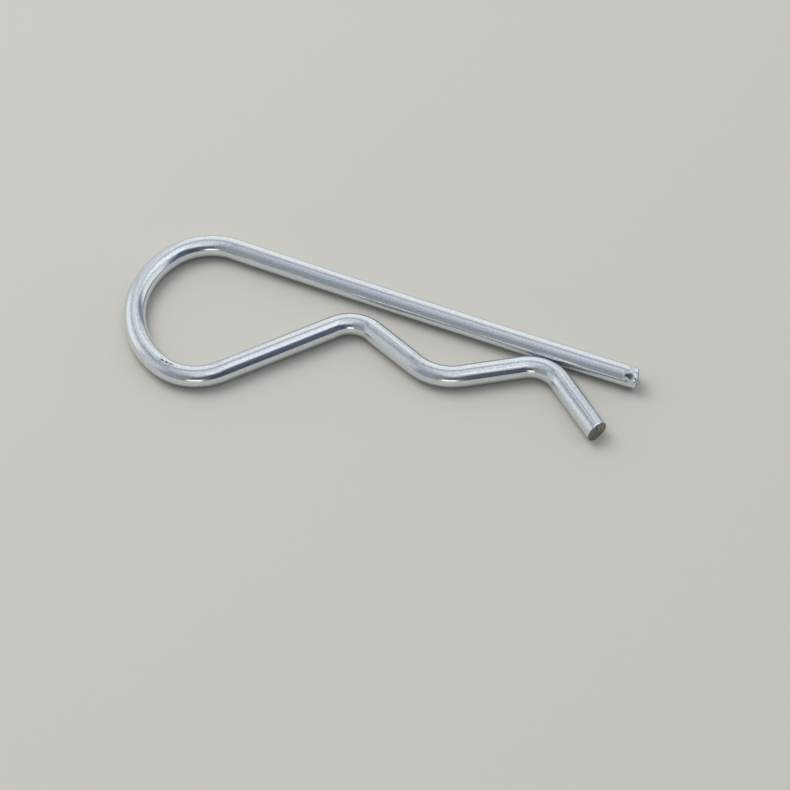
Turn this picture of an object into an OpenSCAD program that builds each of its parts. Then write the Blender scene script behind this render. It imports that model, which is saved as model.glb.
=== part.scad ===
// Hitch R clip: one length of round spring wire, bent flat.
// The clip lies on its side, with its straight leg along X and that leg's free end at +X.
// From the free end the wire runs back to the head, turns left round it and returns as the bent leg.
// That leg swings in to a first crest, out round the shaft's seat, in to a second crest, and flares.

/* [Wire] */
// Diameter of the wire
wire_d = 5; // [3:0.25:6]
// Share of its thickness that the wire loses in a tight bend
bend_thinning = 0.015; // [0.012:0.001:0.04]

/* [Overall] */
// Length from the straight leg's free end to the back of the head
clip_len = 115.5; // [106.5:0.5:140]

/* [Head] */
// Radius of the shoulder, where the straight leg turns into the head
shoulder_r = 14; // [11:0.5:18]
// Angle that the shoulder turns through
shoulder_turn = 62; // [50:1:75]
// Radius of the crown, the back of the head
crown_r = 21; // [19:0.5:26]
// Angle that the crown turns through
crown_turn = 97; // [80:1:110]
// Radius of the throat, where the head turns into the bent leg
throat_r = 11.5; // [9:0.5:15]

/* [Shaft seat] */
// Diameter of the shaft that the clip closes round
shaft_d = 27; // [22:0.5:30]
// Distance of the seat from the free end
seat_at = 43; // [39.5:0.5:46.5]
// Radius of the bend at the bottom of the seat
seat_r = 11.5; // [8:0.5:14]

/* [Crests] */
// Distance of the first crest from the free end
crest_1_at = 62.5; // [59.5:0.5:67.5]
// Clear gap between the first crest and the straight leg
crest_1_gap = 4.5; // [2:0.25:7]
// Radius of the first crest
crest_1_r = 7.5; // [6:0.5:10]
// Distance of the second crest from the free end
crest_2_at = 21; // [17.5:0.5:23.5]
// Clear gap between the second crest and the straight leg
crest_2_gap = 0.55; // [0.55:0.05:3]
// Radius of the second crest
crest_2_r = 8; // [6:0.5:10]

/* [Flared end] */
// Angle at which the end opens away from the straight leg
flare_angle = 39; // [30:1:50]
// Length of the flared end, on its longest side
flare_len = 15.9; // [8:0.1:18]

/* [Sheared ends] */
// Slant of the straight leg's cut face, away from square
leg_slant = 21; // [1:1:25]
// How far round from the top, towards the bent leg, that end is longest
leg_longest_at = 55; // [0:5:90]
// Slant of the flared end's cut face, away from square
flare_slant = 8; // [1:1:25]
// How far round from the top, away from the straight leg, that end is longest
flare_longest_at = 75; // [0:5:90]

/* [Hidden] */

// How finely the curves are drawn
$fn = 96;

// How far a tight bend runs on inside the wire before and after it, so that they join as one solid
lap = 0.1;

// Which way the wire turns in a bend
left = 1;
right = -1;

wire_r = wire_d / 2;
tight_d = wire_d * (1 - bend_thinning);
tight_r = tight_d / 2;

// The centreline is worked out with the straight leg on y = 0, its free end at x = 0 and the bent
// leg at -Y. Every bend is an arc, and these number the arcs in the order the wire takes them.
shoulder = 0;
crown = 1;
throat = 2;
crest_1 = 3;
seat = 4;
crest_2 = 5;

// Centre of the arc that carries on from another, once the wire has turned through an angle in all
function next_centre(centre, r, next_r, turned) =
    centre + (next_r - r) * [sin(turned), -cos(turned)];

turned_at_crown = shoulder_turn + crown_turn;

// The head's arcs, seen from the place where the straight leg ends
shoulder_from_leg = [0, -shoulder_r];
crown_from_leg = next_centre(shoulder_from_leg, shoulder_r, crown_r, shoulder_turn);
throat_from_leg = next_centre(crown_from_leg, crown_r, throat_r, turned_at_crown);

// The back of the crown sets how long the straight leg is
straight_len = clip_len - (crown_r + wire_r) + crown_from_leg.x;
leg_end = [-straight_len, 0];

// Centre of a bend that comes within a gap of the straight leg, or keeps a distance from its axis
function crest_centre(at, gap, r) = [-at, -(wire_r + gap + tight_r + r)];
function seat_centre(at, distance, r) = [-at, -(distance + tight_r - r)];

// Each arc as its centre, its radius, the side it turns to and the wire's thickness in it
bends = [
    [leg_end + shoulder_from_leg, shoulder_r, left, tight_d],
    [leg_end + crown_from_leg, crown_r, left, wire_d],
    [leg_end + throat_from_leg, throat_r, left, tight_d],
    [crest_centre(crest_1_at, crest_1_gap, crest_1_r), crest_1_r, right, tight_d],
    [seat_centre(seat_at, shaft_d / 2, seat_r), seat_r, left, tight_d],
    [crest_centre(crest_2_at, crest_2_gap, crest_2_r), crest_2_r, right, tight_d],
];

function centre(i) = bends[i][0];
function radius(i) = bends[i][1];
function side(i) = bends[i][2];
function thickness(i) = bends[i][3];

// From one bend to the next the wire is the straight tangent of both arcs. These are the way
// between the centres, how far the tangent crosses it, and the tangent's length and heading.
function way(i) = centre(i + 1) - centre(i);
function cross_by(i) = side(i + 1) * radius(i + 1) - side(i) * radius(i);
function run(i) = i == crest_2 ? flare_len : sqrt(max(0, way(i) * way(i) - pow(cross_by(i), 2)));
function heading(i) =
    i < 0 ? 180 :
    i == crest_2 ? -flare_angle :
    atan2(way(i).y, way(i).x) - atan2(cross_by(i), run(i));

// Angle that a bend turns through, and where the wire leaves it
function once_round(a) = a - 360 * floor(a / 360);
function turn(i) = once_round(side(i) * (heading(i) - heading(i - 1)));
function leaves(i) = centre(i) + side(i) * radius(i) * [sin(heading(i)), -cos(heading(i))];

// The outline: the arc on which the wire turns back to +X is the head's lowest, and a long flare may
// reach past the free end
lowest = turned_at_crown < 180 ? throat : crown;
outline_low = centre(lowest).y - radius(lowest) - thickness(lowest) / 2;
flare_middle = flare_len - wire_r * tan(flare_slant);
flare_rise = cos(flare_angle) * tan(flare_slant);
flare_reach = leaves(crest_2).x + flare_middle * cos(flare_angle)
    + wire_r * norm([
        sin(flare_angle) - flare_rise * sin(flare_longest_at),
        flare_rise * cos(flare_longest_at),
    ]);
outline_front = max(0, flare_reach);
outline_middle = [outline_front - clip_len, wire_r + outline_low] / 2;

// One straight stretch of wire
module straight(start, direction, length) {
    translate(start)
        rotate([0, 90, direction])
            cylinder(d = wire_d, h = length);
}

// The block that a slanted shear cuts away at a wire's end. The end keeps its full length on the side
// that is longest_at degrees round from the top, to the right of the way it points.
module sheared_away(start, direction, length, slant, longest_at) {
    translate(start)
        rotate([longest_at, 0, direction])
            translate([length, 0, wire_r])
                rotate([0, slant, 0])
                    translate([0, -wire_d, -2 * wire_d])
                        cube([2 * wire_d, 2 * wire_d, 3 * wire_d]);
}

// A straight stretch that ends in a slanted cut
module free_end(start, direction, length, slant, longest_at) {
    difference() {
        straight(start, direction, length);
        sheared_away(start, direction, length, slant, longest_at);
    }
}

// One bend, with a lap at both ends where it is a tight one
module bend(i) {
    lap_turn = thickness(i) < wire_d ? lap / radius(i) * 180 / PI : 0;
    drawn_turn = turn(i) + 2 * lap_turn;
    first = heading(i - 1) - side(i) * (90 + lap_turn);
    translate(centre(i))
        rotate([0, 0, side(i) == left ? first : first - drawn_turn])
            rotate_extrude(angle = drawn_turn)
                translate([radius(i), 0])
                    circle(d = thickness(i));
}

// The wire, from its free end round to the flare, lying flat and centred on its outline
module clip() {
    color([0.80, 0.82, 0.85])
        translate([-outline_middle.x, -outline_middle.y, wire_r]) {
            free_end(leg_end, 0, straight_len, leg_slant, leg_longest_at);
            for (i = [shoulder:crest_2])
                bend(i);
            for (i = [throat:seat])
                straight(leaves(i), heading(i), run(i));
            free_end(leaves(crest_2), heading(crest_2), run(crest_2), flare_slant, flare_longest_at);
        }
}

clip();
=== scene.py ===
import math
import bmesh
import bpy
import numpy as np
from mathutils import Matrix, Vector


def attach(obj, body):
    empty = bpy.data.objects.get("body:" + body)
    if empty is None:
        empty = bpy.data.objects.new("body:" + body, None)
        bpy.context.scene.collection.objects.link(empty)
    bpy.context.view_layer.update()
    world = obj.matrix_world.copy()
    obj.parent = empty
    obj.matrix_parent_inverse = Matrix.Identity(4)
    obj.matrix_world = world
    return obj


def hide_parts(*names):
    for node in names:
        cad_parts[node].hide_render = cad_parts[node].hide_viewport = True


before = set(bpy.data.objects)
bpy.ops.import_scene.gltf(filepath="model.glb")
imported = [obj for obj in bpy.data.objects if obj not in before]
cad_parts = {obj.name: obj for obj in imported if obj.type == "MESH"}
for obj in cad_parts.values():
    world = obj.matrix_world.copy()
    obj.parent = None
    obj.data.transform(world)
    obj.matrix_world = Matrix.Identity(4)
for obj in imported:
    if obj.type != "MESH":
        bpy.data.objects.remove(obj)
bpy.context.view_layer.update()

mm = 0.001
hair = 1e-7    # m, within which two lengths or places are the same
bpy.context.scene.view_settings.view_transform = "Standard"


def linear(hexColour):
    # sRGB hex to the linear colour that sockets take
    parts = [int(hexColour[i:i + 2], 16) / 255 for i in (0, 2, 4)]
    return [c / 12.92 if c <= 0.04045 else ((c + 0.055) / 1.055) ** 2.4 for c in parts] + [1.0]


def addNode(tree, kind, settings, values, links):
    # settings are the node's own choices, values and links go to its inputs by name or number;
    # a link is (node, output)
    node = tree.nodes.new(kind)
    for name, value in settings.items():
        setattr(node, name, value)
    for name, value in values.items():
        node.inputs[name].default_value = value
    for name, (source, output) in links.items():
        tree.links.new(source.outputs[output], node.inputs[name])
    return node


# Camera

viewpoint = {
    "turned": 22.53,            # degrees round the clip, from its long side towards the free ends
    "height": 52.82,            # degrees above the board
    "distance": 600.0,          # mm to the point looked at
    "aim": (8.66, -4.08, 0.0),  # mm
    "lens": 123.86,             # mm
    "sensor": 36.0,             # mm, its width
    "nearest": 0.01,            # m, and the farthest that it sees
    "farthest": 50.0,
}


def addCamera(v):
    turned, height = math.radians(v["turned"]), math.radians(v["height"])
    back = Vector((math.sin(turned) * math.cos(height), -math.cos(turned) * math.cos(height),
                   math.sin(height)))
    bpy.ops.object.camera_add(location=(Vector(v["aim"]) + back * v["distance"]) * mm)
    camera = bpy.context.object
    camera.name = "clipCamera"
    camera.rotation_euler = (-back).to_track_quat("-Z", "Y").to_euler()
    camera.data.lens = v["lens"]
    camera.data.sensor_width = v["sensor"]
    camera.data.clip_start = v["nearest"]
    camera.data.clip_end = v["farthest"]
    bpy.context.scene.camera = camera


addCamera(viewpoint)
print("camera set")


# The clip: one length of wire, formed from its straight leg's free end to its flare

wire = {
    "diameter": 5.0,               # mm, as are all lengths here
    "freeEnd": (57.7, 18.81),      # on the straight leg's axis, level with its cut's longest side
    "legReach": 98.124,            # from there to the middle of the shoulder's arc
    "legBow": 0.35,                # how far the straight leg bows towards the bent one
    # each bend: name, radius, degrees to the left, and the straight run after it
    "bends": [
        ("shoulder", 14.0, 62.0, 0.0),
        ("crown", 21.0, 97.0, 0.0),
        ("throat", 11.5, 70.398, 28.3939),
        ("crest1", 7.5, -71.851, 13.2476),
        ("seat", 11.5, 55.149, 13.6254),
        ("crest2", 8.0, -71.696, 15.87),
    ],
    # the slant of each cut in degrees, and how far round it is longest: 0 on top, 90 on the left of
    # the way the wire was fed, which faces the bent leg on the straight one
    "legCut": (21.0, 55.0),
    "flareCut": (8.0, -75.0),
    "tightBends": ("shoulder", "throat", "crest1", "seat", "crest2"),
    "thinning": 0.05,              # what a tight bend takes off the wire's radius
    "thinningFade": 2.5,           # the length over which that sets in
    "pointsAround": 96,
    "ringSpacing": 0.45,
    "fineSpacing": 0.12,
    "endSpacing": 0.08,
    "fineZone": (148.3, 153.3),    # along the wire, where the scratch is
    "endPiece": 5.0,               # the length at each end that is trimmed to its slant
    # how the shear drew each end over: how far along the wire, how far in towards its middle, how
    # much faster towards the rim, and the radius of the rim
    "legRollover": (0.06, 0.005, 2.0, 0.18),
    "flareRollover": (0.4, 0.05, 2.0, 0.07),
    "rollSteps": 8,                # rings in the part drawn over, and again in the rim
    "smoothBelow": 22,             # degrees; the cut faces' edges stay sharp
    "faceInsets": (0.1, 0.14, 0.18, 0.22, 0.26, 0.3, 0.34, 0.34),
}

former = {"place": Vector((0, 0)), "heading": 0.0, "along": 0.0, "stretches": []}


def wayOn():
    return Vector((math.cos(former["heading"]), math.sin(former["heading"])))


def leftOf(way):
    return Vector((-way.y, way.x))


def inSpace(flat, height=wire["diameter"] / 2):
    return Vector((flat.x, flat.y, height)) * mm


def runOn(name, length, radius=0.0, turn=0.0):
    # moves the former on along a straight run or round a bend, and keeps what it passed
    way = wayOn()
    former["stretches"].append({
        "name": name, "start": former["place"].copy(), "way": way, "left": leftOf(way),
        "radius": radius, "turn": turn, "length": length, "before": former["along"]})
    if radius:
        side = math.copysign(radius, turn)
        centre = former["place"] + leftOf(way) * side
        former["heading"] += math.radians(turn)
        former["place"] = centre - leftOf(wayOn()) * side
    else:
        former["place"] = former["place"] + way * length
    former["along"] += length


def ringParts(w, length):
    # a stretch cut where the rings get closer or wider: the length of each part, and its rings
    start, end = former["along"], former["along"] + length
    cuts = sorted({start, end} | {edge for edge in w["fineZone"] if start < edge < end})
    parts = []
    for low, high in zip(cuts, cuts[1:]):
        fine = w["fineZone"][0] <= (low + high) / 2 <= w["fineZone"][1]
        spacing = w["fineSpacing" if fine else "ringSpacing"]
        parts.append((high - low, max(1, round((high - low) / spacing))))
    return parts


def pickEdges(piece, wanted):
    bpy.ops.mesh.select_all(action="DESELECT")
    mesh = bmesh.from_edit_mesh(piece.data)
    for edge in mesh.edges:
        if wanted(edge):
            edge.select_set(True)
    bmesh.update_edit_mesh(piece.data)


def pickOpenEnd(piece):
    pickEdges(piece, lambda edge: edge.is_boundary)


def feed(w, piece, name, length):
    # a straight run, cut into rings
    if length <= 0:
        return
    for part, rings in ringParts(w, length):
        step = inSpace(wayOn() * part, 0)
        bpy.ops.mesh.extrude_region_move(TRANSFORM_OT_translate={"value": step})
        if rings > 1:
            pickEdges(piece, lambda edge: abs(edge.calc_length() - part * mm) < hair)
            bpy.ops.mesh.subdivide(number_cuts=rings - 1)
            pickOpenEnd(piece)
    runOn(name, length)


def bend(w, piece, name, radius, turn):
    # the wire laid round a former of the bend's radius
    length = math.radians(abs(turn)) * radius
    centre = former["place"] + leftOf(wayOn()) * math.copysign(radius, turn)
    for part, rings in ringParts(w, length):
        bpy.ops.mesh.spin(steps=rings, angle=-math.radians(turn) * part / length,
                          center=inSpace(centre), axis=(0, 0, 1))
        pickOpenEnd(piece)
    runOn(name, length, radius, turn)


def shearOff(w, piece, outward, cut, drawnOver):
    # from the open ring at the former's place: runs on to the end, trims it to the cut's slant, draws
    # it over towards its rim and closes it
    slant, longestAt = math.radians(cut[0]), math.radians(cut[1])
    ring, length = former["place"], w["endPiece"]
    radius, (rollover, depth, shape, rim) = w["diameter"] / 2, drawnOver
    slope, steps = math.atan(shape * depth / rollover), w["rollSteps"]
    # where each further ring goes: how far along, and its radius
    targets = []
    for t in range(1, steps + 1):
        targets.append((rollover * t / steps, radius - depth * (t / steps) ** shape))
    for t in range(1, steps + 1):
        turned = slope + (math.pi / 2 - slope) * t / steps
        targets.append((rollover + rim * (math.sin(turned) - math.sin(slope)),
                        radius - depth - rim * (math.cos(slope) - math.cos(turned))))
    out, left = inSpace(outward, 0) / mm, inSpace(leftOf(wayOn()), 0) / mm
    longSide = Vector((0, 0, math.cos(longestAt))) + left * math.sin(longestAt)
    trimAt = inSpace(ring + outward * (length - targets[-1][0])) + longSide * radius * mm
    middle = length - targets[-1][0] - radius * math.tan(slant)

    bpy.ops.mesh.extrude_region_move(TRANSFORM_OT_translate={"value": out * length * mm})
    bpy.ops.mesh.select_all(action="SELECT")
    bpy.ops.mesh.bisect(plane_co=trimAt, plane_no=out * math.cos(slant) - longSide * math.sin(slant),
                        threshold=hair, clear_outer=True)
    # only the edges along the wire are this long
    pickEdges(piece, lambda edge: edge.calc_length() > 1.5 * mm)
    bpy.ops.mesh.subdivide(number_cuts=round(length / w["endSpacing"]))
    # the trimmed end's edges, all more than 1 mm beyond the ring
    start = inSpace(ring)
    pickEdges(piece, lambda edge: edge.is_boundary and (edge.verts[0].co - start).dot(out) > mm)

    along, size = 0.0, radius
    for nextAlong, nextSize in targets:
        step = out * (nextAlong - along) * mm
        bpy.ops.mesh.extrude_region_move(TRANSFORM_OT_translate={"value": step})
        bpy.ops.transform.resize(value=[nextSize / size] * 3,
                                 center_override=inSpace(ring + outward * (middle + nextAlong)))
        along, size = nextAlong, nextSize
    bpy.ops.mesh.edge_face_add()
    for inset in w["faceInsets"]:
        bpy.ops.mesh.inset(thickness=inset * mm)
    bpy.ops.mesh.poke()


def formWire(w):
    # the leg's bow is one very wide bend to the right, and ends where the shoulder's arc has the same
    # heading
    bow = 2 * math.degrees(math.atan(2 * w["legBow"] / w["legReach"]))
    freeEnd = Vector(w["freeEnd"])
    shoulderRadius = w["bends"][0][1]
    shoulderCentre = freeEnd + Vector((-w["legReach"], -shoulderRadius))
    outwards = Vector((math.sin(math.radians(bow)), math.cos(math.radians(bow))))
    legEnd = shoulderCentre + shoulderRadius * outwards
    bowRadius = (legEnd - freeEnd).length / 2 / math.sin(math.radians(bow))
    trimmed = math.degrees(w["endPiece"] / bowRadius)

    former["place"], former["heading"] = freeEnd, math.radians(180 + bow)
    runOn("legEnd", w["endPiece"], bowRadius, -trimmed)
    bpy.ops.object.select_all(action="DESELECT")
    bpy.ops.mesh.primitive_circle_add(
        vertices=w["pointsAround"], radius=w["diameter"] / 2 * mm, fill_type="NOTHING",
        location=inSpace(former["place"]), rotation=(0, math.pi / 2, former["heading"]))
    piece = bpy.context.object
    piece.name = piece.data.name = "clipWire"
    bpy.ops.object.transform_apply(location=True, rotation=True, scale=True)
    bpy.ops.object.mode_set(mode="EDIT")
    bpy.ops.mesh.select_mode(type="EDGE")
    bpy.ops.mesh.select_all(action="SELECT")
    shearOff(w, piece, -wayOn(), w["legCut"], w["legRollover"])
    pickOpenEnd(piece)

    bend(w, piece, "straightLeg", bowRadius, -(2 * bow - trimmed))
    for name, radius, turn, run in w["bends"]:
        bend(w, piece, name, radius, turn + (bow if name == "shoulder" else 0))
        if name == w["bends"][-1][0]:
            feed(w, piece, "flare", run - w["endPiece"])
        else:
            feed(w, piece, "after " + name, run)
    shearOff(w, piece, wayOn(), w["flareCut"], w["flareRollover"])
    runOn("flareEnd", w["endPiece"])

    bpy.ops.mesh.select_all(action="SELECT")
    bpy.ops.mesh.remove_doubles(threshold=10 * hair)
    bpy.ops.mesh.normals_make_consistent(inside=False)
    bpy.ops.object.mode_set(mode="OBJECT")
    return piece


clipWire = formWire(wire)
print("wire formed:", len(clipWire.data.polygons), "faces on", round(former["along"], 1), "mm of wire")


def meshPlaces(piece):
    spots = np.empty(len(piece.data.vertices) * 3)
    piece.data.vertices.foreach_get("co", spots)
    return spots.reshape(-1, 3) / mm


def unbend(w, spots):
    # where each point lay before the wire was bent: along it, to its left and up from its middle,
    # and how sharply it is bent there
    reach, overlap = w["diameter"] * 0.55, 0.06    # how far off a stretch and past it a point may lie
    along = np.full(len(spots), np.nan)
    aside = np.zeros(len(spots))
    strain = np.zeros(len(spots))
    for s in former["stretches"]:
        apart = spots[:, :2] - np.array(s["start"])
        way, left = np.array(s["way"]), np.array(s["left"])
        if s["radius"]:
            side = math.copysign(1, s["turn"])
            apart = apart - left * side * s["radius"]
            distance = np.arctan2(apart @ way, -side * (apart @ left)) * s["radius"]
            off = side * (s["radius"] - np.hypot(apart[:, 0], apart[:, 1]))
        else:
            distance, off = apart @ way, apart @ left
        here = np.isnan(along) & (abs(off) < reach)
        here &= (distance > -overlap) & (distance < s["length"] + overlap)
        along[here] = s["before"] + distance[here]
        aside[here] = off[here]
        strain[here] = w["diameter"] / 2 / s["radius"] if s["radius"] else 0
    return along, aside, spots[:, 2] - w["diameter"] / 2, strain


def behindCut(w, along, aside, height):
    # how far each point lies from the nearer cut's plane, in mm along the wire
    behind = []
    ends = ((w["legCut"], along), (w["flareCut"], former["along"] - along))
    for (slant, longestAt), fromLongest in ends:
        turned = math.radians(longestAt)
        out = w["diameter"] / 2 - aside * math.sin(turned) - height * math.cos(turned)
        behind.append(fromLongest - out * math.tan(math.radians(slant)))
    return np.minimum(*behind)


def ease(low, high, value):
    t = np.clip((value - low) / (high - low), 0, 1)
    return t * t * (3 - 2 * t)


def press(piece, name, weights, depth, least=0.002):
    # sinks the skin by depth in mm times its weight, where that is more than the least
    group = piece.vertex_groups.new(name=name)
    for index in np.nonzero(weights > least)[0]:
        group.add([int(index)], float(min(1, weights[index])), "REPLACE")
    sunk = piece.modifiers.new(name, "DISPLACE")
    sunk.vertex_group = name
    sunk.strength = -depth * mm
    sunk.mid_level = 0
    bpy.ops.object.select_all(action="DESELECT")
    piece.select_set(True)
    bpy.context.view_layer.objects.active = piece
    bpy.ops.object.modifier_apply(modifier=name)
    piece.vertex_groups.remove(piece.vertex_groups[name])


# Marks that forming and handling left. Places are mm along the wire from the straight leg's end,
# and degrees round it: 0 on top, 90 on the left of the way it was fed, which faces the bent leg.
marks = {
    # the dent drops steeply and rises again towards the cut end, with a raised lip round it, and its
    # hollow is coloured darker as painted shade and painted dark reflection. Its wall, lip and painted
    # shade's edge are placed by how far out they lie, 0 in its middle and 1 on its edge, and its rise
    # and the painted shade's fading by how far along, -1 where it drops and 1 where it ends.
    "dent": {
        "along": 2.1, "around": 38.0, "halfLength": 1.05, "halfWidth": 0.74,
        "depth": 0.34, "wallFrom": 0.52,
        "rise": 0.7, "riseFrom": -0.5,    # the share of the depth that it rises again
        "lip": 0.09, "lipAt": 1.2, "lipWidth": 0.22,
        "paintedDentShade": (0.97, 0.45), "paintedShadeFadesFrom": -0.1, "paintedShadeEdgeFrom": 0.72,
    },
    # how far in from a cut's edge the plating is rubbed off, and how much of it; the dark bare-steel
    # colour there also paints a dark reflection line along the rim
    "rubbedRimAndPaintedLine": 0.22,
    "rubbedRimAndPaintedLineShare": 0.85,
    # the scratch is three short gouges, one behind another: along, around, half its length. The last
    # four values are placed by how far out from a gouge's middle they lie, as for the dent.
    "gouges": [(149.58, 2.4, 0.62), (150.74, 4.6, 0.6), (151.84, 6.8, 0.6)],
    "gougeHalfWidth": 0.21,
    "gougeDepth": 0.1,
    "gougeLip": 0.02,
    "gougeWallFrom": 0.2,
    "gougeLipAt": 1.45,
    "gougeLipWidth": 0.35,
    "gougeBare": (0.5, 1.15),      # where the bare steel starts to fade and is gone
    # the cut faces' torn grain: layers of waves, each finer and shallower than the last
    "tear": {
        "size": 0.35, "depth": 0.05,
        "rim": (0.25, 0.75),           # how far in from the rim it begins and is whole
        "layers": 5, "waves": 6,
        "finer": 1.5, "shallower": 1.4,
        "seed": 7,
    },
    # the shear necked the leg's end a little and turned its upper side out again at the rim: the
    # depth, how far behind the cut the neck begins, the width of the turned-out band, and how many
    # degrees round from the end's longest side all this starts to fade and is gone
    "neck": {"depth": 0.11, "from": 2.6, "band": 0.3, "fade": (85, 150)},
    # flats that it nipped on the flare's rim: the degrees round it, half the width in degrees, the
    # length and the depth of each, and the share of the width from which they get shallower
    "nips": [(-5.0, 23.0, 0.6, 0.27), (-46.0, 10.0, 0.3, 0.06)],
    "nipSidesFrom": 0.4,
    # a burr that it left on the edge of the flare's cut face: half its width is in degrees too, and it
    # rises between two distances from the axis
    "burr": {"around": -168.0, "halfWidth": 12.0, "sidesFrom": 0.3, "foot": (2.0, 2.25), "height": 0.2},
}


def turnedFrom(around, turned):
    # degrees from one place round the wire to another, the short way
    return (around - turned + 180) % 360 - 180


def markReach(along, around, middle, halfLength, halfWidth):
    # 0 in the middle of a mark, 1 on its edge
    across = np.radians(turnedFrom(around, middle[1])) * wire["diameter"] / 2
    return np.hypot((along - middle[0]) / halfLength, across / halfWidth)


def thinBends(piece, w, along):
    thinned = np.zeros(len(along))
    for s in former["stretches"]:
        if s["name"] in w["tightBends"]:
            beyond = abs(along - s["before"] - s["length"] / 2) - s["length"] / 2
            fade = w["thinningFade"] / 2
            thinned = np.maximum(thinned, 1 - ease(-fade, fade, beyond))
    press(piece, "thinned", thinned, w["thinning"])


def dentLeg(piece, d, along, around):
    # presses the dent in and gives the painted shade in it, a darker colour in its hollow
    reach = markReach(along, around, (d["along"], d["around"]), d["halfLength"], d["halfWidth"])
    onward = (d["along"] - along) / d["halfLength"]
    sinking = 1 - d["rise"] * ease(d["riseFrom"], 1.0, onward)
    press(piece, "dent", (1 - ease(d["wallFrom"], 1.0, reach)) * sinking, d["depth"])
    press(piece, "dentLip", np.exp(-((reach - d["lipAt"]) / d["lipWidth"]) ** 2), -d["lip"])
    # painted shade: darkest where the dent drops, and less where it rises again
    most, least = d["paintedDentShade"]
    paintedDentShade = most + (least - most) * ease(d["paintedShadeFadesFrom"], 1.0, onward)
    return (1 - ease(d["paintedShadeEdgeFrom"], 1.0, reach)) * paintedDentShade


def scratchThroat(piece, m, along, around):
    # presses the gouges in and gives how bare of plating each point is
    bare = np.zeros(len(along))
    for number, (start, turned, half) in enumerate(m["gouges"]):
        reach = markReach(along, around, (start, turned), half, m["gougeHalfWidth"])
        lip = np.exp(-((reach - m["gougeLipAt"]) / m["gougeLipWidth"]) ** 2)
        press(piece, "gouge%d" % number, 1 - ease(m["gougeWallFrom"], 1.0, reach), m["gougeDepth"])
        press(piece, "gougeLip%d" % number, lip, -m["gougeLip"])
        bare = np.maximum(bare, 1 - ease(*m["gougeBare"], reach))
    return bare


def tearFaces(piece, t, aside, height, weights):
    randomness = np.random.default_rng(t["seed"])
    torn = np.zeros(len(aside))
    for layer in range(t["layers"]):
        ways = randomness.normal(size=(t["waves"], 2)) / t["size"] * t["finer"] ** layer
        starts = randomness.uniform(0, 2 * math.pi, t["waves"])
        waves = np.sin(aside[:, None] * ways[:, 0] + height[:, None] * ways[:, 1] + starts)
        torn += waves.sum(1) / t["shallower"] ** layer
    press(piece, "torn", weights * np.clip(0.5 + torn / (2 * t["waves"]), 0, 1), t["depth"])


def shearMarks(piece, w, m, along, around, aside, height, behind, onCut):
    # what the shear left at both ends
    onLeg, onFlare = along < former["along"] / 2, along > former["along"] / 2
    fromAxis = np.hypot(aside, height)
    neck = m["neck"]
    necked = (1 - ease(neck["band"] * 2, neck["from"], behind)) * np.clip(behind / neck["band"], 0, 1)
    necked *= onLeg * (1 - ease(*neck["fade"], abs(around - w["legCut"][1])))
    press(piece, "necked", necked, neck["depth"])
    for number, (turned, half, length, depth) in enumerate(m["nips"]):
        nipped = 1 - ease(m["nipSidesFrom"], 1.0, abs(turnedFrom(around, turned)) / half)
        nipped *= onFlare * np.clip(1 - behind / length, 0, 1)
        press(piece, "nip%d" % number, nipped, depth)
    inside = onCut * ease(*m["tear"]["rim"], w["diameter"] / 2 - fromAxis)
    tearFaces(piece, m["tear"], aside, height, inside)
    b = m["burr"]
    burred = 1 - ease(b["sidesFrom"], 1.0, abs(turnedFrom(around, b["around"])) / b["halfWidth"])
    burred *= onCut * onFlare * ease(*b["foot"], fromAxis)
    press(piece, "burr", burred, -b["height"])


def markWire(piece, w, m):
    # presses every mark in, and gives what the finishes need to know of each point
    along, aside, height, strain = unbend(w, meshPlaces(piece))
    around = np.degrees(np.arctan2(aside, height))
    behind = behindCut(w, along, aside, height)
    onCut = behind < 0.01    # mm from a cut's plane
    thinBends(piece, w, along)
    paintedDentShade = dentLeg(piece, m["dent"], along, around)
    bare = scratchThroat(piece, m, along, around)
    # the plating rubbed off at each cut's rim, whose dark bare-steel colour also paints a dark
    # reflection line there
    rubbedAndPaintedLine = 1 - ease(m["rubbedRimAndPaintedLine"] / 2, m["rubbedRimAndPaintedLine"], behind)
    bare = np.maximum(bare, m["rubbedRimAndPaintedLineShare"] * rubbedAndPaintedLine)
    shearMarks(piece, w, m, along, around, aside, height, behind, onCut)
    return along, aside, height, strain, bare, paintedDentShade, onCut


along, aside, height, strain, bare, paintedDentShade, onCut = markWire(clipWire, wire, marks)
print("marks pressed in, points off the wire:", int(np.isnan(along).sum()))


def keepOnMesh(piece, along, aside, height, strain, bare, paintedDentShade):
    # what the materials read: each point's place on the straight wire in mm, how far it was strained,
    # where the plating is broken, with the painted dark line along the cut rims, and the dent's painted
    # shade
    place = piece.data.attributes.new("wirePlace", "FLOAT_VECTOR", "POINT")
    place.data.foreach_set("vector", np.stack([along, aside, height], 1).ravel())
    for name, values in (("strain", strain), ("bareSteelAndPaintedDarkLine", bare), ("paintedDentShade", paintedDentShade)):
        piece.data.attributes.new(name, "FLOAT", "POINT").data.foreach_set("value", values)


keepOnMesh(clipWire, along, aside, height, strain, bare, paintedDentShade)
bpy.ops.object.shade_smooth_by_angle(angle=math.radians(wire["smoothBelow"]))
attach(clipWire, "root")
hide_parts("clip")
print("clip placed on the frame")


# Finishes

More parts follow.
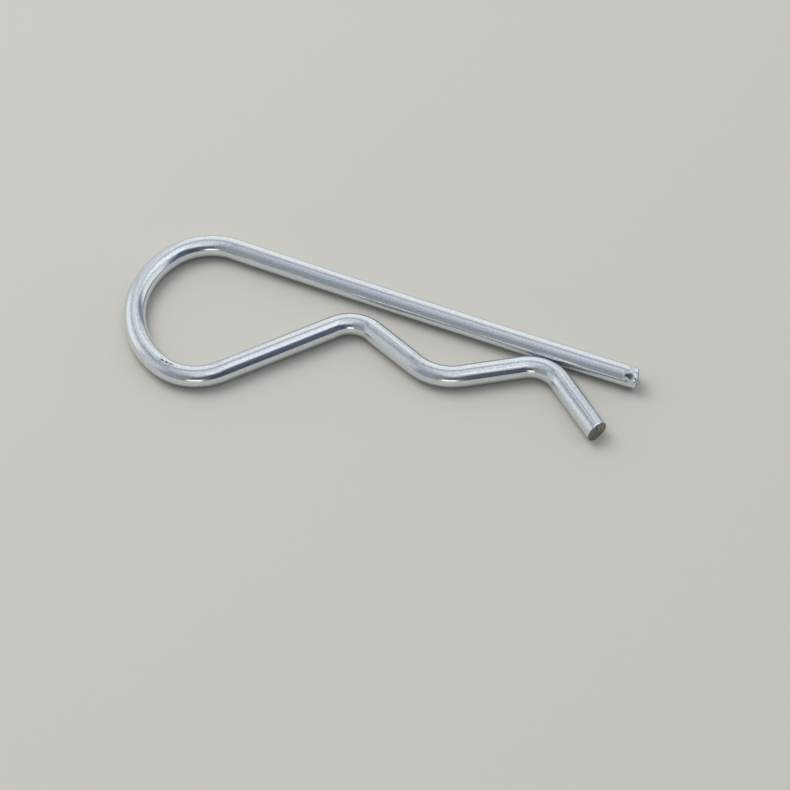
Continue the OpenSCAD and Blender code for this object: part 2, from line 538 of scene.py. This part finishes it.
plating = {
    "zinc": "F0F1F3",
    "duller": "D6DADF",
    # painted shade: the darker grey in the dent's hollow
    "paintedDentShadeColour": "62676F",
    # dark bare steel in the gouges and at the cut rims, where it also paints a dark reflection line
    "bareSteelAndPaintedDarkLine": "4A3A30",
    "roughness": (0.06, 0.14),
    "bentRougher": 0.08,     # how much rougher the plating is where it was strained
    "paintedDentShadeRougher": 0.2,
    "bareRougher": 0.35,
    "contrast": (0.3, 0.7),  # the noise at which the grain and the lines start, and are full
    "streakSpacing": 0.35,   # mm across the drawing lines
    "streakStretch": 30,     # how much longer than wide they are
    "streakDepth": 0.0042,   # mm
    "grainSize": 0.32,       # mm
    "grainDepth": 0.0034,    # mm
    "peelSize": 1.3,         # mm, the plating's slow waves
    "peelDepth": 0.010,      # mm
}

cutFaces = {
    "light": "AFA89B",
    "dark": "777167",
    "roughness": 0.48,
    "lineSpacing": 0.12,     # mm
    "lineStretch": 8,
    "lineDepth": 0.006,      # mm
    "grainSize": 0.4,        # mm
    "grainDepth": 0.012,     # mm
    "contrast": (0.35, 0.65),
}


def zincPlatedSpringSteel(p):
    # bright zinc over drawn wire: clear reflections that waver, with fine lines along the wire
    material = bpy.data.materials.new("zincPlatedDrawnSteel")
    material.use_nodes = True
    tree = material.node_tree
    shader = tree.nodes["Principled BSDF"]
    shader.inputs["Metallic"].default_value = 1.0
    place, strained, bareSteelAndPaintedDarkLine, paintedDentShade = (
        addNode(tree, "ShaderNodeAttribute", {"attribute_name": name}, {}, {})
        for name in ("wirePlace", "strain", "bareSteelAndPaintedDarkLine", "paintedDentShade"))
    drawn = addNode(tree, "ShaderNodeVectorMath", {"operation": "MULTIPLY"},
                    {1: (1 / p["streakStretch"], 1, 1)}, {0: (place, "Vector")})
    streaks = addNode(tree, "ShaderNodeTexNoise", {},
                      {"Scale": 1 / p["streakSpacing"], "Detail": 3, "Roughness": 0.6},
                      {"Vector": (drawn, 0)})
    grain = addNode(tree, "ShaderNodeTexNoise", {},
                    {"Scale": 1 / p["grainSize"], "Detail": 2, "Roughness": 0.5},
                    {"Vector": (place, "Vector")})
    peel = addNode(tree, "ShaderNodeTexNoise", {},
                   {"Scale": 1 / p["peelSize"], "Detail": 1, "Roughness": 0.4},
                   {"Vector": (place, "Vector")})

    faint, strong = p["contrast"]
    speckled = addNode(tree, "ShaderNodeMapRange", {},
                       {1: faint, 2: strong, 3: 0.0, 4: 1.0}, {0: (grain, "Fac")})
    zinc = addNode(tree, "ShaderNodeMix", {"data_type": "RGBA"},
                   {6: linear(p["duller"]), 7: linear(p["zinc"])}, {0: (speckled, 0)})
    # painted shade: the dent's hollow is mixed towards a darker grey
    dulled = addNode(tree, "ShaderNodeMix", {"data_type": "RGBA"},
                     {7: linear(p["paintedDentShadeColour"])}, {0: (paintedDentShade, "Fac"), 6: (zinc, 2)})
    # bare steel in the gouges and at the cut rims, where it also paints a dark reflection line
    colour = addNode(tree, "ShaderNodeMix", {"data_type": "RGBA"},
                     {7: linear(p["bareSteelAndPaintedDarkLine"])}, {0: (bareSteelAndPaintedDarkLine, "Fac"), 6: (dulled, 2)})
    tree.links.new(colour.outputs[2], shader.inputs["Base Color"])

    smooth, rough = p["roughness"]
    worked = addNode(tree, "ShaderNodeMapRange", {},
                     {1: faint, 2: strong, 3: smooth, 4: rough}, {0: (streaks, "Fac")})
    strainedMore = addNode(tree, "ShaderNodeMath", {"operation": "MULTIPLY_ADD"},
                           {1: p["bentRougher"]}, {0: (strained, "Fac"), 2: (worked, 0)})
    rougherInDent = addNode(tree, "ShaderNodeMath", {"operation": "MULTIPLY_ADD"},
                            {1: p["paintedDentShadeRougher"]}, {0: (paintedDentShade, "Fac"), 2: (strainedMore, 0)})
    roughness = addNode(tree, "ShaderNodeMath", {"operation": "MULTIPLY_ADD", "use_clamp": True},
                        {1: p["bareRougher"]}, {0: (bareSteelAndPaintedDarkLine, "Fac"), 2: (rougherInDent, 0)})
    tree.links.new(roughness.outputs[0], shader.inputs["Roughness"])

    waved = addNode(tree, "ShaderNodeBump", {},
                    {"Strength": 1.0, "Distance": p["peelDepth"] * mm}, {"Height": (peel, "Fac")})
    lined = addNode(tree, "ShaderNodeBump", {},
                    {"Strength": 1.0, "Distance": p["streakDepth"] * mm},
                    {"Height": (streaks, "Fac"), "Normal": (waved, 0)})
    grained = addNode(tree, "ShaderNodeBump", {},
                      {"Strength": 1.0, "Distance": p["grainDepth"] * mm},
                      {"Height": (grain, "Fac"), "Normal": (lined, 0)})
    tree.links.new(grained.outputs[0], shader.inputs["Normal"])
    return material


def shearedSteel(c):
    # where the shear went through after plating: bare spring steel, torn to a dull dark grain with
    # fine lines the way the blade went
    material = bpy.data.materials.new("shearedBareSteel")
    material.use_nodes = True
    tree = material.node_tree
    shader = tree.nodes["Principled BSDF"]
    shader.inputs["Metallic"].default_value = 1.0
    place = addNode(tree, "ShaderNodeAttribute", {"attribute_name": "wirePlace"}, {}, {})
    drawn = addNode(tree, "ShaderNodeVectorMath", {"operation": "MULTIPLY"},
                    {1: (1, 1, 1 / c["lineStretch"])}, {0: (place, "Vector")})
    lines = addNode(tree, "ShaderNodeTexNoise", {},
                    {"Scale": 1 / c["lineSpacing"], "Detail": 3, "Roughness": 0.6},
                    {"Vector": (drawn, 0)})
    grain = addNode(tree, "ShaderNodeTexNoise", {},
                    {"Scale": 1 / c["grainSize"], "Detail": 3, "Roughness": 0.6},
                    {"Vector": (place, "Vector")})
    faint, strong = c["contrast"]
    patches = addNode(tree, "ShaderNodeMapRange", {},
                      {1: faint, 2: strong, 3: 0.0, 4: 1.0}, {0: (grain, "Fac")})
    colour = addNode(tree, "ShaderNodeMix", {"data_type": "RGBA"},
                     {6: linear(c["dark"]), 7: linear(c["light"])}, {0: (patches, 0)})
    tree.links.new(colour.outputs[2], shader.inputs["Base Color"])
    shader.inputs["Roughness"].default_value = c["roughness"]
    lined = addNode(tree, "ShaderNodeBump", {},
                    {"Strength": 1.0, "Distance": c["lineDepth"] * mm}, {"Height": (lines, "Fac")})
    grained = addNode(tree, "ShaderNodeBump", {},
                      {"Strength": 1.0, "Distance": c["grainDepth"] * mm},
                      {"Height": (grain, "Fac"), "Normal": (lined, 0)})
    tree.links.new(grained.outputs[0], shader.inputs["Normal"])
    return material


def dressWire(piece, onCut):
    # plating all over, bare steel on the polygons of the two cut faces
    piece.data.materials.append(zincPlatedSpringSteel(plating))
    piece.data.materials.append(shearedSteel(cutFaces))
    for polygon in piece.data.polygons:
        polygon.material_index = int(all(onCut[index] for index in polygon.vertices))


dressWire(clipWire, onCut)
print("finishes made")


# The board that the clip lies on, and the white tent round them, which is open towards the front

board = {"colour": "CCC7BE", "roughness": 0.55, "radius": 2.0}

tent = {
    "turned": 22.53,          # degrees, as the camera is
    "backdrop": "E4E2DE",     # what shows past the board
    "walls": "BAC1C9",
    # each part of the tent, the later ones over the earlier: from and to in degrees round it, where
    # 0 is behind the clip and 90 to its right, from and to in height, how softly it ends, its colour
    # and how bright it is
    "parts": [
        ("roof", -200, 200, 56, 120, 10, "DDE4EA", 1.0),
        ("roofLeft", -157, 9, 51, 75, 21, "B8C0C8", 1.0),
        ("roofRight", 35, 123, 48, 77, 15, "F5FDFF", 1.1),
        ("roofBack", -39, -3, 48, 64, 11, "E4E7E9", 1.0),
        ("backWall", -31, 34, -120, 56, 12, "D8DEE2", 1.0),
        ("backMiddle", -13, 15, -120, 50, 9, "F4FAFC", 1.0),
        ("leftBack", -88, -39, -120, 37, 20, "F3FBFA", 1.0),
        ("left", -130, -91, -120, 47, 10, "CACFD1", 1.0),
        ("leftFront", -151, -117, -120, 50, 24, "939DA2", 1.0),
        ("frontLeft", -170, -147, -120, 55, 19, "8B9293", 1.0),
        ("rightFold", 37, 53, -120, 41, 8, "81919F", 1.0),
        ("right", 56, 101, -120, 40, 16, "EBF1F3", 1.0),
        ("rightOpening", 108, 138, -120, 53, 16, "526075", 1.0),
        ("frontRight", 134, 168, -120, 47, 14, "49525F", 1.0),
        ("front", 159, 193, 16, 44, 12, "606770", 1.0),
        ("frontLamp", 173, 196, -1, 16, 5, "F4FBE8", 1.4),
        ("roofFront", 136, 160, 62, 75, 6, "FFFFFF", 1.1),
        ("backTopSeam", -75, 38, 65, 67.5, 3, "7F8791", 1.0),
        ("leftTopSeam", -130, -48, 54.3, 56.5, 2.5, "6E7783", 1.0),
        ("backTopFold", -25, -4, 57.5, 60, 3, "8A929D", 1.0),
    ],
}

lamp = {
    "around": -50.0,     # degrees, as for the tent's parts
    "height": 58.0,
    "distance": 1.2,     # m
    "size": 0.9,         # m
    "power": 7.0,        # W
}


def addBoard(b):
    # matt painted board, pale and even, so that only the clip draws the eye
    bpy.ops.object.select_all(action="DESELECT")
    bpy.ops.mesh.primitive_circle_add(vertices=96, radius=b["radius"], fill_type="NGON")
    floor = bpy.context.object
    floor.name = "paleBoard"
    material = bpy.data.materials.new("paleMattPaint")
    material.use_nodes = True
    shader = material.node_tree.nodes["Principled BSDF"]
    shader.inputs["Base Color"].default_value = linear(b["colour"])
    shader.inputs["Roughness"].default_value = b["roughness"]
    floor.data.materials.append(material)


def addTent(t):
    world = bpy.data.worlds.new("whiteTent")
    bpy.context.scene.world = world
    world.use_nodes = True
    tree = world.node_tree
    background = tree.nodes["Background"]
    spot = addNode(tree, "ShaderNodeTexCoord", {}, {}, {})
    turned = addNode(tree, "ShaderNodeVectorRotate", {"rotation_type": "Z_AXIS"},
                     {"Angle": math.radians(-t["turned"])}, {0: (spot, "Generated")})
    axes = addNode(tree, "ShaderNodeSeparateXYZ", {}, {}, {0: (turned, 0)})
    around = addNode(tree, "ShaderNodeMath", {"operation": "ARCTAN2"}, {},
                     {0: (axes, 0), 1: (axes, 1)})
    rise = addNode(tree, "ShaderNodeMath", {"operation": "ARCSINE"}, {}, {0: (axes, 2)})
    seen = addNode(tree, "ShaderNodeRGB", {}, {}, {})
    seen.outputs[0].default_value = linear(t["walls"])
    output = 0
    for name, left, right, bottom, top, soft, colour, strength in t["parts"]:
        shares = []
        for angle, low, high in ((around, left, right), (rise, bottom, top)):
            away = addNode(tree, "ShaderNodeMath", {"operation": "SUBTRACT"},
                           {1: math.radians((low + high) / 2)}, {0: (angle, 0)})
            if angle is around:
                away = addNode(tree, "ShaderNodeMath", {"operation": "WRAP"},
                               {1: math.pi, 2: -math.pi}, {0: (away, 0)})
            away = addNode(tree, "ShaderNodeMath", {"operation": "ABSOLUTE"}, {}, {0: (away, 0)})
            half, edge = math.radians(high - low) / 2, math.radians(soft) / 2
            shares.append(addNode(tree, "ShaderNodeMapRange", {"interpolation_type": "SMOOTHSTEP"},
                                  {1: half + edge, 2: half - edge, 3: 0.0, 4: 1.0}, {0: (away, 0)}))
        share = addNode(tree, "ShaderNodeMath", {"operation": "MULTIPLY"}, {},
                        {0: (shares[0], 0), 1: (shares[1], 0)})
        lit = [c * strength for c in linear(colour)[:3]] + [1.0]
        seen = addNode(tree, "ShaderNodeMix", {"data_type": "RGBA", "label": name},
                       {7: lit}, {0: (share, 0), 6: (seen, output)})
        output = 2
    path = addNode(tree, "ShaderNodeLightPath", {}, {}, {})
    behind = addNode(tree, "ShaderNodeMix", {"data_type": "RGBA"},
                     {7: linear(t["backdrop"])}, {0: (path, "Is Camera Ray"), 6: (seen, output)})
    tree.links.new(behind.outputs[2], background.inputs["Color"])
    background.inputs["Strength"].default_value = 1.0


def addLamp(l, turnedBy):
    # a soft lamp over the tent's roof, which gives the board a faint direction of shadow
    around, height = math.radians(l["around"]) - math.radians(turnedBy), math.radians(l["height"])
    way = Vector((math.sin(around) * math.cos(height), math.cos(around) * math.cos(height),
                  math.sin(height)))
    bpy.ops.object.light_add(type="AREA", location=way * l["distance"])
    light = bpy.context.object
    light.name = "roofLamp"
    light.rotation_euler = way.to_track_quat("Z", "Y").to_euler()
    light.data.shape = "DISK"
    light.data.size = l["size"]
    light.data.energy = l["power"]
    light.visible_glossy = False


addBoard(board)
addTent(tent)
addLamp(lamp, tent["turned"])
print("board, tent and lamp set up")
